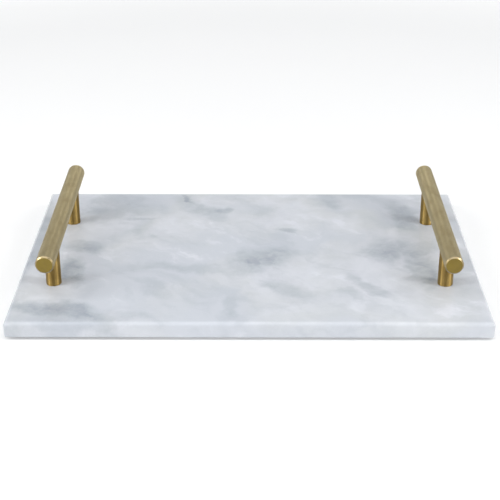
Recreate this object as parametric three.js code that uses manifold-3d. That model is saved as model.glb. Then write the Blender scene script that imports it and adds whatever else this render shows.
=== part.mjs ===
// A dresser vanity tray: a polished marble slab on four soft feet, with a round bar handle standing
// near each end. Each handle is a bar on two posts. A headless stud joins the bar to each post, and
// a screw with a washer holds each post down from a recess in the slab's underside.
//
// Millimetres, +Z up. The origin is on the resting plane, under the middle of the slab. +X runs along
// the slab's length, and -Y is the front.
import * as THREE from "three";
import { mergeVertices } from "three/addons/utils/BufferGeometryUtils.js";
import Module from "manifold-3d";

// Slab
const SLAB_LENGTH = 305;
const SLAB_DEPTH = 203;
const SLAB_THICKNESS = 10.5;
const SLAB_CORNER_RADIUS = 1.2; // the upright corners, in plan
const SLAB_TOP_ROUND = 2.4;
const SLAB_BOTTOM_ROUND = 0.8;

// Handles
const HANDLE_INSET = 24; // from the slab's end to the bar's axis
const BAR_DIAMETER = 12;
const BAR_LENGTH = 154;
const BAR_CHAMFER = 0.9;
const BAR_HEIGHT = 27.4; // from the slab's top to the bar's axis
const POST_SPACING = 96; // between the two posts of one handle
const POST_DIAMETER = 10;
const POST_CHAMFER = 0.4; // round the post's foot
const POST_WEB = 3; // solid brass left between the post's two blind bores
const SADDLE_GAP = 0.3; // between the post's hollowed top and the bar

// Threaded pieces
const BORE_CLEARANCE = 0.1; // round a stud or a screw, on the radius
const BORE_END_GAP = 1; // past the end of a stud or a screw
const STUD_DIAMETER = 4;
const STUD_IN_BAR = 6;
const STUD_CHAMFER = 0.5;
const SOCKET_FLATS = 2; // across the flats of the stud's hexagonal socket
const SOCKET_DEPTH = 2;
const SCREW_DIAMETER = 4;
const SCREW_CHAMFER = 0.6;
const HEAD_DIAMETER = 7.6;
const HEAD_HEIGHT = 2.6;
const HEAD_ROUND = 1.5; // the head's domed shoulder
const SLOT_LENGTH = 4.2; // each arm of the cross recess, end to end
const SLOT_WIDTH = 0.9;
const SLOT_DEPTH = 1.4;
const WASHER_DIAMETER = 9;
const WASHER_THICKNESS = 0.8;
const WASHER_CLEARANCE = 0.2; // round the screw, on the radius

// Slab's holes
const HOLE_CLEARANCE = 0.5; // round the screw, on the radius
const RECESS_CLEARANCE = 0.5; // round the washer or the head, on the radius
const HEAD_SETBACK = 0.8; // how far the screw's head stays inside the underside

// Feet
const FOOT_DIAMETER = 12;
const FOOT_HEIGHT = 2;
const FOOT_ROUND = 0.5;
const FOOT_INSET = 20; // from the slab's two nearest sides to the foot's middle

const CUT_OVERRUN = 1; // how far a cutter runs past the face that it opens
const BAR_SEGMENTS = 48;
const ROUND_SEGMENTS = 32;
const ARC_STEPS = 4;

const slabUnderside = FOOT_HEIGHT;
const slabTop = slabUnderside + SLAB_THICKNESS;
const recessDepth = HEAD_SETBACK + HEAD_HEIGHT + WASHER_THICKNESS;
const barRadius = BAR_DIAMETER / 2;
const saddleRadius = barRadius + SADDLE_GAP;
const postLength = BAR_HEIGHT - saddleRadius; // at the bottom of the saddle
const postBoreDepth = (postLength - POST_WEB) / 2;
const gripInPost = postBoreDepth - BORE_END_GAP;
const studLength = gripInPost + SADDLE_GAP + STUD_IN_BAR;
const shankLength = WASHER_THICKNESS + SLAB_THICKNESS - recessDepth + gripInPost;

const marble = () => new THREE.MeshStandardMaterial({ color: 0xc9ced8, roughness: 0.18, metalness: 0 });
const knurledBrass = () => new THREE.MeshStandardMaterial({ color: 0xa39569, roughness: 0.45, metalness: 1 });
const polishedBrass = () => new THREE.MeshStandardMaterial({ color: 0xb79c5e, roughness: 0.2, metalness: 1 });
const platedSteel = () => new THREE.MeshStandardMaterial({ color: 0xc6c8cc, roughness: 0.35, metalness: 1 });
const softRubber = () => new THREE.MeshStandardMaterial({ color: 0xd9d8d3, roughness: 0.7, metalness: 0 });

const wasm = await Module();
wasm.setup();

/** A closed geometry as a solid that can be joined and cut. */
function solidOf(geometry) {
  const bare = geometry.clone();
  bare.deleteAttribute("normal");
  bare.deleteAttribute("uv");
  const merged = mergeVertices(bare, 1e-4);
  return new wasm.Manifold(
    new wasm.Mesh({
      numProp: 3,
      vertProperties: merged.attributes.position.array,
      triVerts: new Uint32Array(merged.index.array),
    }),
  );
}

/** A solid's surface as a flat-shaded geometry. */
function geometryOf(solid) {
  const surface = solid.getMesh();
  const shared = new THREE.BufferGeometry();
  shared.setAttribute("position", new THREE.BufferAttribute(surface.vertProperties, 3));
  shared.setIndex(new THREE.BufferAttribute(surface.triVerts, 1));
  const flat = shared.toNonIndexed();
  flat.computeVertexNormals();
  return flat;
}

/** A geometry with pieces cut out of it. */
function cut(geometry, ...cutters) {
  let solid = solidOf(geometry);
  for (const cutter of cutters) solid = solid.subtract(solidOf(cutter));
  return geometryOf(solid);
}

/** A turned shape on the Y axis, from [radius, height] pairs that start and end on the axis. */
function turnedOnY(profile, segments) {
  const points = profile.map(([radius, height]) => new THREE.Vector2(radius, height));
  return new THREE.LatheGeometry(points, segments);
}

/** A turned shape on the Z axis. */
function turned(profile, segments = ROUND_SEGMENTS) {
  return turnedOnY(profile, segments).rotateX(Math.PI / 2);
}

/** A plain round rod on the Z axis between two heights. */
function rod(radius, bottom, top, segments = ROUND_SEGMENTS) {
  return turned([[0, bottom], [radius, bottom], [radius, top], [0, top]], segments);
}

/** Points up the rounded lower edge of a turned shape, from its flat bottom to its full radius. */
function roundedEdge(radius, bottom, round) {
  const points = [];
  for (let step = 0; step <= ARC_STEPS; step += 1) {
    const angle = ((Math.PI / 2) * step) / ARC_STEPS;
    points.push([radius - round * (1 - Math.sin(angle)), bottom + round * (1 - Math.cos(angle))]);
  }
  return points;
}

/** A rectangle about the origin, with its corners rounded where a radius is given. */
function rectangle(length, depth, radius = 0) {
  const x = length / 2;
  const y = depth / 2;
  const outline = new THREE.Shape();
  if (radius === 0) {
    outline.moveTo(-x, -y).lineTo(x, -y).lineTo(x, y).lineTo(-x, y);
    return outline;
  }
  outline.absarc(x - radius, y - radius, radius, 0, Math.PI / 2);
  outline.absarc(radius - x, y - radius, radius, Math.PI / 2, Math.PI);
  outline.absarc(radius - x, radius - y, radius, Math.PI, 1.5 * Math.PI);
  outline.absarc(x - radius, radius - y, radius, 1.5 * Math.PI, 2 * Math.PI);
  return outline;
}

/** The slab's block with every long edge rounded: its straight sides are as tall as the slab. */
function roundedBlock(round) {
  return new THREE.ExtrudeGeometry(rectangle(SLAB_LENGTH, SLAB_DEPTH), {
    depth: SLAB_THICKNESS,
    bevelThickness: round,
    bevelSize: round,
    bevelOffset: -round,
    bevelSegments: ARC_STEPS,
  });
}

/** The way in for one mounting screw, from the underside: a recess, then a hole through the slab. */
function screwWay(x, y) {
  const recessRadius = Math.max(WASHER_DIAMETER, HEAD_DIAMETER) / 2 + RECESS_CLEARANCE;
  const holeRadius = SCREW_DIAMETER / 2 + HOLE_CLEARANCE;
  const way = turned([
    [0, -CUT_OVERRUN],
    [recessRadius, -CUT_OVERRUN],
    [recessRadius, recessDepth],
    [holeRadius, recessDepth],
    [holeRadius, SLAB_THICKNESS + CUT_OVERRUN],
    [0, SLAB_THICKNESS + CUT_OVERRUN],
  ]);
  return way.translate(x, y, 0);
}

/** The slab, with its underside at height 0. */
function slabGeometry() {
  const upper = solidOf(roundedBlock(SLAB_TOP_ROUND).translate(0, 0, -SLAB_TOP_ROUND));
  const lower = solidOf(roundedBlock(SLAB_BOTTOM_ROUND).translate(0, 0, SLAB_BOTTOM_ROUND));
  const prism = new THREE.ExtrudeGeometry(rectangle(SLAB_LENGTH, SLAB_DEPTH, SLAB_CORNER_RADIUS), {
    depth: SLAB_THICKNESS + 2 * CUT_OVERRUN,
    bevelEnabled: false,
    curveSegments: ARC_STEPS,
  });
  let slab = upper.intersect(lower).intersect(solidOf(prism.translate(0, 0, -CUT_OVERRUN)));
  for (const side of SIDES) {
    for (const end of ENDS) slab = slab.subtract(solidOf(screwWay(side.handleX, end.postY)));
  }
  return geometryOf(slab);
}

/** A handle's bar, lying along Y, with a blind bore up into it above each post. */
function barGeometry() {
  const halfLength = BAR_LENGTH / 2;
  const bar = turnedOnY(
    [
      [0, -halfLength],
      [barRadius - BAR_CHAMFER, -halfLength],
      [barRadius, BAR_CHAMFER - halfLength],
      [barRadius, halfLength - BAR_CHAMFER],
      [barRadius - BAR_CHAMFER, halfLength],
      [0, halfLength],
    ],
    BAR_SEGMENTS,
  );
  const boreTop = STUD_IN_BAR + BORE_END_GAP - barRadius;
  const bore = () => rod(STUD_DIAMETER / 2 + BORE_CLEARANCE, -barRadius - CUT_OVERRUN, boreTop);
  return cut(bar, ...ENDS.map((end) => bore().translate(0, end.postY, 0)));
}

/** A post, standing at height 0, with its top hollowed to the bar and a blind bore in each end. */
function postGeometry() {
  const radius = POST_DIAMETER / 2;
  const post = turned([
    [0, 0],
    [radius - POST_CHAMFER, 0],
    [radius, POST_CHAMFER],
    [radius, BAR_HEIGHT],
    [0, BAR_HEIGHT],
  ]);
  const reach = radius + CUT_OVERRUN;
  const saddleProfile = [[0, -reach], [saddleRadius, -reach], [saddleRadius, reach], [0, reach]];
  const saddle = turnedOnY(saddleProfile, BAR_SEGMENTS);
  const screwBore = rod(SCREW_DIAMETER / 2 + BORE_CLEARANCE, -CUT_OVERRUN, postBoreDepth);
  const studBore = rod(STUD_DIAMETER / 2 + BORE_CLEARANCE, postLength - postBoreDepth, BAR_HEIGHT);
  return cut(post, saddle.translate(0, 0, BAR_HEIGHT), screwBore, studBore);
}

/** A headless stud from height 0, with a hexagonal socket in its top. */
function studGeometry() {
  const radius = STUD_DIAMETER / 2;
  const stud = turned([
    [0, 0],
    [radius - STUD_CHAMFER, 0],
    [radius, STUD_CHAMFER],
    [radius, studLength - STUD_CHAMFER],
    [radius - STUD_CHAMFER, studLength],
    [0, studLength],
  ]);
  const cornerRadius = SOCKET_FLATS / Math.sqrt(3);
  return cut(stud, rod(cornerRadius, studLength - SOCKET_DEPTH, studLength + CUT_OVERRUN, 6));
}

/** A mounting screw, its shank pointing up from the seat of its head at height 0. */
function screwGeometry() {
  const radius = SCREW_DIAMETER / 2;
  const headRadius = HEAD_DIAMETER / 2;
  const screw = turned([
    [0, -HEAD_HEIGHT],
    ...roundedEdge(headRadius, -HEAD_HEIGHT, HEAD_ROUND),
    [headRadius, 0],
    [radius, 0],
    [radius, shankLength - SCREW_CHAMFER],
    [radius - SCREW_CHAMFER, shankLength],
    [0, shankLength],
  ]);
  const slotHeight = SLOT_DEPTH + CUT_OVERRUN;
  const slot = () => new THREE.BoxGeometry(SLOT_LENGTH, SLOT_WIDTH, slotHeight);
  const slotMiddle = SLOT_DEPTH - HEAD_HEIGHT - slotHeight / 2;
  return cut(
    screw,
    slot().translate(0, 0, slotMiddle),
    slot().rotateZ(Math.PI / 2).translate(0, 0, slotMiddle),
  );
}

/** A flat washer, its top face at height 0. */
function washerGeometry() {
  return cut(
    rod(WASHER_DIAMETER / 2, -WASHER_THICKNESS, 0),
    rod(SCREW_DIAMETER / 2 + WASHER_CLEARANCE, -WASHER_THICKNESS - CUT_OVERRUN, CUT_OVERRUN),
  );
}

/** A soft foot, standing at height 0, with its lower edge rounded. */
function footGeometry() {
  return turned([
    [0, 0],
    ...roundedEdge(FOOT_DIAMETER / 2, 0, FOOT_ROUND),
    [FOOT_DIAMETER / 2, FOOT_HEIGHT],
    [0, FOOT_HEIGHT],
  ]);
}

/** A named piece of its own material, at a place in its group. */
function piece(name, geometry, material, x = 0, y = 0, z = 0) {
  const mesh = new THREE.Mesh(geometry, material);
  mesh.name = name;
  mesh.position.set(x, y, z);
  return mesh;
}

/** One handle with all that holds it together and to the slab: height 0 is the slab's top. */
function handle(side) {
  const group = new THREE.Group();
  group.position.set(side.handleX, 0, slabTop);
  group.add(piece(`${side.name}_handle_bar`, barGeometry(), knurledBrass(), 0, 0, BAR_HEIGHT));
  const washerTop = recessDepth - SLAB_THICKNESS;
  const headSeat = washerTop - WASHER_THICKNESS;
  const studBottom = postLength - gripInPost;
  for (const end of ENDS) {
    const prefix = `${side.name}_${end.name}`;
    group.add(piece(`${prefix}_post`, postGeometry(), polishedBrass(), 0, end.postY, 0));
    group.add(piece(`${prefix}_stud`, studGeometry(), platedSteel(), 0, end.postY, studBottom));
    group.add(piece(`${prefix}_screw`, screwGeometry(), platedSteel(), 0, end.postY, headSeat));
    group.add(piece(`${prefix}_washer`, washerGeometry(), platedSteel(), 0, end.postY, washerTop));
  }
  return group;
}

const handleX = SLAB_LENGTH / 2 - HANDLE_INSET;
const footX = SLAB_LENGTH / 2 - FOOT_INSET;
const postY = POST_SPACING / 2;
const footY = SLAB_DEPTH / 2 - FOOT_INSET;
const SIDES = [
  { name: "left", handleX: -handleX, footX: -footX },
  { name: "right", handleX, footX },
];
const ENDS = [
  { name: "front", postY: -postY, footY: -footY },
  { name: "rear", postY, footY },
];

const tray = new THREE.Group();
tray.add(piece("marble_slab", slabGeometry(), marble(), 0, 0, slabUnderside));
for (const side of SIDES) {
  tray.add(handle(side));
  for (const end of ENDS) {
    tray.add(piece(`${side.name}_${end.name}_foot`, footGeometry(), softRubber(), side.footX, end.footY));
  }
}

export default tray;
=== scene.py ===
"""A dresser vanity tray: a polished marble slab on soft feet, with a knurled brass bar handle near each end.

Everything is in metres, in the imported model's own frame: +X along the slab's length, -Y the front, +Z up,
and the origin on the resting plane under the middle of the slab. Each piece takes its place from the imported
nodes.
"""

import logging
import math
from dataclasses import dataclass
from enum import Enum

import bmesh
import bpy
from mathutils import Matrix, Vector


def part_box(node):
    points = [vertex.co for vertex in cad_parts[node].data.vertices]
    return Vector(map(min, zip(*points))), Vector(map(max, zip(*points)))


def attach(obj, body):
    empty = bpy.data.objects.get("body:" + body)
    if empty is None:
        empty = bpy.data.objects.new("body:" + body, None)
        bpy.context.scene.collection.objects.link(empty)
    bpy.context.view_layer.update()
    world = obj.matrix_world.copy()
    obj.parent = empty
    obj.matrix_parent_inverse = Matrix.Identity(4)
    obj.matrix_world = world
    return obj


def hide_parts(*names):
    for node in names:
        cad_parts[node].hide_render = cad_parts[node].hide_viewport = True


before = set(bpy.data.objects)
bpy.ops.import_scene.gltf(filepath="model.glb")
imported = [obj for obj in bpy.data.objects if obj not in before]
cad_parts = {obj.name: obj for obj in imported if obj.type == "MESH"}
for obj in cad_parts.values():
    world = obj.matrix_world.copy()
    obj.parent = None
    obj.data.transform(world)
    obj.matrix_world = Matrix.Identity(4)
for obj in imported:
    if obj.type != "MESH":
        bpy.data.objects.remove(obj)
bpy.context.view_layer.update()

log = logging.getLogger("tray")

MM = 0.001
BODY = "root"
SMOOTH_ANGLE = math.radians(26)
WELD = 0.001 * MM

SIDES = ("left", "right")
ENDS = ("front", "rear")

Point = tuple[float, float, float]
Colour = tuple[float, float, float, float]
Profile = list[tuple[float, float]]


def srgb(red: int, green: int, blue: int) -> Colour:
    """Turn a colour as it is seen on a screen into the linear colour that a shader takes.

    Args:
        red: The red part, 0 to 255.
        green: The green part, 0 to 255.
        blue: The blue part, 0 to 255.

    Returns:
        The linear colour, with full alpha.
    """

    def linear(part: int) -> float:
        """Undo the screen's curve for one part."""
        share = part / 255
        return share / 12.92 if share <= 0.04045 else ((share + 0.055) / 1.055) ** 2.4

    return (linear(red), linear(green), linear(blue), 1.0)


def span(node: str) -> Vector:
    """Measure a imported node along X, Y and Z."""
    low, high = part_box(node)
    return high - low


def middle(node: str) -> Vector:
    """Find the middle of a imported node."""
    low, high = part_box(node)
    return (low + high) / 2


def at_corners(kind: str) -> list[str]:
    """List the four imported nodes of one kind, such as every foot."""
    return [f"{side}_{end}_{kind}" for side in SIDES for end in ENDS]


# --- Node trees written as expressions --------------------------------------------------------------


class Value:
    """A number in a node tree that takes part in Python expressions."""

    def __init__(self, tree: "Tree", socket: bpy.types.NodeSocket) -> None:
        """Wrap a socket of a tree."""
        self.tree = tree
        self.socket = socket

    def __add__(self, other: "Value | float") -> "Value":
        """Return self + other."""
        return self.tree.maths("ADD", self, other)

    def __radd__(self, other: float) -> "Value":
        """Return other + self."""
        return self.tree.maths("ADD", other, self)

    def __sub__(self, other: "Value | float") -> "Value":
        """Return self - other."""
        return self.tree.maths("SUBTRACT", self, other)

    def __rsub__(self, other: float) -> "Value":
        """Return other - self."""
        return self.tree.maths("SUBTRACT", other, self)

    def __mul__(self, other: "Value | float") -> "Value":
        """Return self * other."""
        return self.tree.maths("MULTIPLY", self, other)

    def __rmul__(self, other: float) -> "Value":
        """Return other * self."""
        return self.tree.maths("MULTIPLY", other, self)

    def __truediv__(self, other: "Value | float") -> "Value":
        """Return self / other."""
        return self.tree.maths("DIVIDE", self, other)

    def __rtruediv__(self, other: float) -> "Value":
        """Return other / self."""
        return self.tree.maths("DIVIDE", other, self)

    def __mod__(self, other: "Value | float") -> "Value":
        """Return the positive remainder of self / other."""
        return self.tree.maths("FLOORED_MODULO", self, other)

    def __rmod__(self, other: float) -> "Value":
        """Return the positive remainder of other / self."""
        return self.tree.maths("FLOORED_MODULO", other, self)

    def __gt__(self, other: "Value | float") -> "Value":
        """Return 1 where self is greater than other, and 0 elsewhere."""
        return self.tree.maths("GREATER_THAN", self, other)

    def __lt__(self, other: "Value | float") -> "Value":
        """Return 1 where self is less than other, and 0 elsewhere."""
        return self.tree.maths("LESS_THAN", self, other)

    def __abs__(self) -> "Value":
        """Return self without its sign."""
        return self.tree.maths("ABSOLUTE", self)

    def least(self, other: "Value | float") -> "Value":
        """Return the smaller of self and other."""
        return self.tree.maths("MINIMUM", self, other)

    def most(self, other: "Value | float") -> "Value":
        """Return the larger of self and other."""
        return self.tree.maths("MAXIMUM", self, other)

    def ramp(self, low: float, high: float, start: float = 0.0, end: float = 1.0) -> "Value":
        """Carry self smoothly from one range to another, held at the ends.

        Args:
            low: The value of self that gives start.
            high: The value of self that gives end.
            start: The result at low.
            end: The result at high.

        Returns:
            The carried value.
        """
        inputs = {"Value": self, "From Min": low, "From Max": high, "To Min": start, "To Max": end}
        node = self.tree.node("ShaderNodeMapRange", {"interpolation_type": "SMOOTHSTEP"}, inputs)
        return Value(self.tree, node.outputs["Result"])


class Tree:
    """A node tree whose nodes are made one call at a time."""

    def __init__(self, nodes: bpy.types.NodeTree) -> None:
        """Wrap a shader or geometry node tree."""
        self.nodes = nodes

    def node(
        self,
        kind: str,
        settings: dict[str, object] | None = None,
        inputs: dict[str, object] | None = None,
    ) -> bpy.types.Node:
        """Add a node.

        Args:
            kind: The node's type.
            settings: Its settings by name, such as a Math node's operation, which are set first.
            inputs: Values or links for its sockets, by the socket's identifier or name.

        Returns:
            The node.
        """
        made = self.nodes.nodes.new(kind)
        for name, setting in (settings or {}).items():
            setattr(made, name, setting)
        for name, value in (inputs or {}).items():
            self.feed(made, name, value)
        return made

    def feed(self, node: bpy.types.Node, name: str, value: object) -> None:
        """Link or set one of a node's sockets.

        Args:
            node: The node.
            name: The socket's identifier or name.
            value: What it takes.
        """
        named = [s for s in node.inputs if s.enabled and name in (s.identifier, s.name)]
        socket = next((s for s in named if s.identifier == name), named[0])
        source = value.socket if isinstance(value, Value) else value
        if isinstance(source, bpy.types.NodeSocket):
            self.nodes.links.new(source, socket)
        else:
            socket.default_value = value

    @staticmethod
    def output(made: bpy.types.Node, name: str) -> bpy.types.NodeSocket:
        """Find a node's output by its identifier or name."""
        return next(s for s in made.outputs if s.enabled and name in (s.identifier, s.name))

    def maths(self, operation: str, *numbers: "Value | float") -> Value:
        """Add a Math node.

        Args:
            operation: What it works out.
            numbers: The one or two numbers that it takes.

        Returns:
            The result.
        """
        inputs = dict(zip(("Value", "Value_001"), numbers))
        made = self.node("ShaderNodeMath", {"operation": operation}, inputs)
        return Value(self, made.outputs["Value"])

    def parts(self, vector: bpy.types.NodeSocket) -> tuple[Value, Value, Value]:
        """Split a vector into its X, Y and Z."""
        split = self.node("ShaderNodeSeparateXYZ", {}, {"Vector": vector}).outputs
        return Value(self, split["X"]), Value(self, split["Y"]), Value(self, split["Z"])

    def vector(self, x: "Value | float", y: "Value | float", z: "Value | float") -> bpy.types.NodeSocket:
        """Join three numbers into a vector."""
        return self.node("ShaderNodeCombineXYZ", {}, {"X": x, "Y": y, "Z": z}).outputs["Vector"]

    def blend(
        self,
        share: Value,
        first: "Colour | bpy.types.NodeSocket",
        second: "Colour | bpy.types.NodeSocket",
    ) -> bpy.types.NodeSocket:
        """Mix two colours.

        Args:
            share: How much of the second colour shows.
            first: The first colour.
            second: The second colour.

        Returns:
            The mixed colour.
        """
        inputs = {"Factor_Float": share, "A_Color": first, "B_Color": second}
        return self.output(self.node("ShaderNodeMix", {"data_type": "RGBA"}, inputs), "Result_Color")


class Shader(Tree):
    """A material's node tree round one Principled shader."""

    def __init__(self, name: str) -> None:
        """Make a material with an empty Principled shader."""
        self.material = bpy.data.materials.new(name)
        self.material.use_nodes = True
        super().__init__(self.material.node_tree)
        self.surface = self.nodes.nodes["Principled BSDF"]
        self.place = self.node("ShaderNodeTexCoord").outputs["Object"]

    def set(self, **constants: float) -> None:
        """Set the shader's own sockets, named with underscores for spaces, to values that never vary."""
        for name, value in constants.items():
            self.surface.inputs[name.replace("_", " ")].default_value = value

    def vary(self, name: str, source: "Value | bpy.types.NodeSocket") -> None:
        """Link something that varies to one of the shader's sockets."""
        self.feed(self.surface, name, source)

    def noise(
        self,
        size: float,
        detail: float = 2.0,
        roughness: float = 0.5,
        distortion: float = 0.0,
        at: bpy.types.NodeSocket | None = None,
    ) -> Value:
        """Add a noise pattern.

        Args:
            size: How far apart its main features are, in metres.
            detail: How many finer layers it has.
            roughness: How strong the finer layers are.
            distortion: How far it swirls.
            at: The coordinates it reads, or None for the object's own.

        Returns:
            The pattern, from 0 to 1.
        """
        inputs = {"Vector": at or self.place, "Scale": 1 / size, "Detail": detail}
        inputs |= {"Roughness": roughness, "Distortion": distortion}
        return Value(self, self.node("ShaderNodeTexNoise", {}, inputs).outputs["Fac"])

    def mapped(
        self,
        centre: Point = (0, 0, 0),
        turn: float = 0.0,
        reach: Point = (1, 1, 1),
        at: bpy.types.NodeSocket | None = None,
    ) -> bpy.types.NodeSocket:
        """Centre, turn and stretch a pattern's coordinates.

        Args:
            centre: The point that becomes the pattern's origin.
            turn: The pattern's turn about Z, in radians.
            reach: How far one unit of the pattern reaches along its own axes.
            at: The coordinates it reads, or None for the object's own.

        Returns:
            The pattern's coordinates.
        """
        inputs = {"Vector": at or self.place, "Location": centre, "Rotation": (0, 0, turn), "Scale": reach}
        return self.node("ShaderNodeMapping", {"vector_type": "TEXTURE"}, inputs).outputs["Vector"]

    def length(self, vector: bpy.types.NodeSocket) -> Value:
        """Measure a vector."""
        made = self.node("ShaderNodeVectorMath", {"operation": "LENGTH"}, {"Vector": vector})
        return Value(self, made.outputs["Value"])

    def bump(self, height: Value, depth: float, strength: float = 1.0) -> None:
        """Raise the surface by a height.

        Args:
            height: The pattern, about 0 to 1.
            depth: How high 1 stands, in metres.
            strength: How much of it is felt.
        """
        inputs = {"Height": height, "Distance": depth, "Strength": strength}
        if self.surface.inputs["Normal"].is_linked:
            inputs["Normal"] = self.surface.inputs["Normal"].links[0].from_socket
        self.vary("Normal", self.node("ShaderNodeBump", {}, inputs).outputs["Normal"])


# --- Finishes ---------------------------------------------------------------------------------------


@dataclass(frozen=True)
class GreyPatch:
    """A soft grey patch in the stone, seen from above: mostly a cloud in the marble, and in a few places a
    painted shadow beside a handle post.
    """

    x: float
    y: float
    reach: float
    width: float
    turn: float = 0.0
    strength: float = 0.5


@dataclass(frozen=True)
class Marble:
    """Polished white marble with soft blue-grey cloud patches and faint veins, and painted shadows beside the
    handle posts.
    """

    ground: Colour = srgb(190, 194, 201)
    warm: Colour = srgb(192, 195, 198)
    pale: Colour = srgb(212, 214, 220)
    grey: Colour = srgb(140, 148, 157)
    crystal: Colour = srgb(236, 238, 241)
    patches_and_shadows: tuple[GreyPatch, ...] = ()
    layer: float = 26 * MM
    wander: float = 34 * MM
    smoke_size: float = 20 * MM
    smoke_angle: float = math.radians(-46)
    vein_size: float = 46 * MM
    vein_angle: float = math.radians(-42)
    stretch: Point = (2.6, 1, 1)
    crystal_size: float = 1.4 * MM
    gloss: float = 0.17

    def material(self) -> bpy.types.Material:
        """Build the stone's material.

        Returns:
            The material.
        """
        shader = Shader("polished_marble")
        drift = self._drifted(shader)
        cloud_and_shadow_grey = self._clouds_and_painted_shadows(shader, drift)
        veins = self._veins(shader, drift)
        slant = shader.mapped(turn=self.smoke_angle, reach=self.stretch, at=drift)
        smoke = shader.noise(self.smoke_size, 5.0, 0.55, at=slant)
        haze = shader.noise(64 * MM, 3.0, 0.55, at=drift)
        paleness = (haze.ramp(0.42, 0.72) + smoke.ramp(0.45, 0.25)).least(1.0)
        colour = shader.blend(shader.noise(70 * MM, 2.0, at=drift).ramp(0.4, 0.6), self.ground, self.warm)
        colour = shader.blend(paleness, colour, self.pale)
        shade = cloud_and_shadow_grey + smoke.ramp(0.48, 0.72) * 0.2 + veins * 0.1
        # The grey carries the marble's cloud patches and veins, and the painted shadows beside the posts.
        colour = shader.blend(shade.least(1.0), colour, self.grey)
        crystals = shader.noise(self.crystal_size, 3.0, 0.65)
        shader.vary("Base Color", shader.blend(crystals.ramp(0.5, 0.8) * 0.08, colour, self.crystal))
        shader.vary("Roughness", self.gloss + 0.05 * crystals + 0.03 * cloud_and_shadow_grey.least(1.0))
        shader.bump(shader.noise(38 * MM, 1.0), 0.05 * MM, 0.35)
        shader.set(IOR=1.5, Coat_Roughness=0.06)
        return shader.material

    def _drifted(self, shader: Shader) -> bpy.types.NodeSocket:
        """Push the coordinates about, so that no cloud keeps a plain outline.

        Args:
            shader: The stone's shader.

        Returns:
            The pushed coordinates.
        """
        inputs = {"Vector": shader.place, "Scale": 1 / self.wander, "Detail": 5.0, "Roughness": 0.6}
        swirl = shader.node("ShaderNodeTexNoise", {}, inputs).outputs["Color"]
        inputs = {"Vector": swirl, "Vector_001": (0.5, 0.5, 0.5)}
        centred = shader.node("ShaderNodeVectorMath", {"operation": "SUBTRACT"}, inputs).outputs["Vector"]
        push = (self.wander, self.wander, 20 * MM)
        inputs = {"Vector": centred, "Vector_001": push, "Vector_002": shader.place}
        return shader.node("ShaderNodeVectorMath", {"operation": "MULTIPLY_ADD"}, inputs).outputs["Vector"]

    def _clouds_and_painted_shadows(self, shader: Shader, drift: bpy.types.NodeSocket) -> Value:
        """Add up the grey patches, broken by a finer mottle: cloud patches in the marble, and painted shadows
        beside the posts.

        Args:
            shader: The stone's shader.
            drift: The pushed coordinates.

        Returns:
            How grey each point is, from 0 to about 1.
        """
        total = shader.noise(60 * MM, 5.0, 0.6, at=drift).ramp(0.42, 0.68) * 0.2
        for cloud in self.patches_and_shadows:
            reach = (cloud.reach, cloud.width, self.layer)
            spot = shader.mapped((cloud.x, cloud.y, 0), cloud.turn, reach, drift)
            total = total + shader.length(spot).ramp(0.55, 1.55, cloud.strength, 0.0)
        mottle = shader.noise(9 * MM, 4.0, 0.6, 0.6)
        return total * mottle.ramp(0.25, 0.7, 0.75, 1.12)

    def _veins(self, shader: Shader, drift: bpy.types.NodeSocket) -> Value:
        """Draw thin broken lines that run aslant.

        Args:
            shader: The stone's shader.
            drift: The pushed coordinates.

        Returns:
            The lines, from 0 to 1.
        """
        slant = shader.mapped(turn=self.vein_angle, reach=self.stretch, at=drift)
        ridge = abs(shader.noise(self.vein_size, 3.0, 0.5, at=slant) - 0.5)
        patchy = shader.noise(40 * MM, 2.0).ramp(0.45, 0.7)
        return ridge.ramp(0.0, 0.03, 1.0, 0.0) * patchy


@dataclass(frozen=True)
class Brass:
    """Brass with a slight unevenness of colour and sheen."""

    name: str
    colour: Colour
    tarnish: Colour
    roughness: float
    patch: Point = (14 * MM, 14 * MM, 14 * MM)

    def start(self) -> tuple[Shader, Value]:
        """Begin a brass material.

        Returns:
            The shader, and the pattern of its tarnish.
        """
        shader = Shader(self.name)
        shader.set(Metallic=1.0)
        tarnish = shader.noise(1.0, 4.0, 0.6, at=shader.mapped(reach=self.patch)).ramp(0.35, 0.75)
        return shader, tarnish


@dataclass(frozen=True)
class BarBrass(Brass):
    """Brass on a bar that lies along Y."""

    axis_x: float = 0.0
    axis_z: float = 0.0

    def radius(self, shader: Shader) -> Value:
        """Measure how far each point is from the bar's axis."""
        x, _, z = shader.parts(shader.place)
        across, up = x - self.axis_x, z - self.axis_z
        return shader.maths("SQRT", across * across + up * up)


@dataclass(frozen=True)
class KnurledBrass(BarBrass):
    """Satin brass under a diamond knurl: dull in the grooves, rubbed bright on the points. Its pale, greyish
    colour holds a painted whitish sheen of reflected light.
    """

    crown: float = 6 * MM
    depth: float = 0.15 * MM

    def material(self) -> bpy.types.Material:
        """Build the material.

        Returns:
            The material.
        """
        shader, tarnish = self.start()
        rubbed = self.radius(shader).ramp(self.crown - self.depth, self.crown)
        colour = shader.blend(tarnish * 0.34, self.colour, self.tarnish)
        colour = shader.blend((1 - rubbed) * 0.45, colour, self.tarnish)
        shader.vary("Base Color", colour)
        grain = shader.noise(0.35 * MM, 2.0)
        shader.vary("Roughness", self.roughness + 0.1 * tarnish - 0.05 * rubbed + 0.04 * grain)
        shader.bump(grain, 0.01 * MM, 0.6)
        return shader.material


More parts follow.
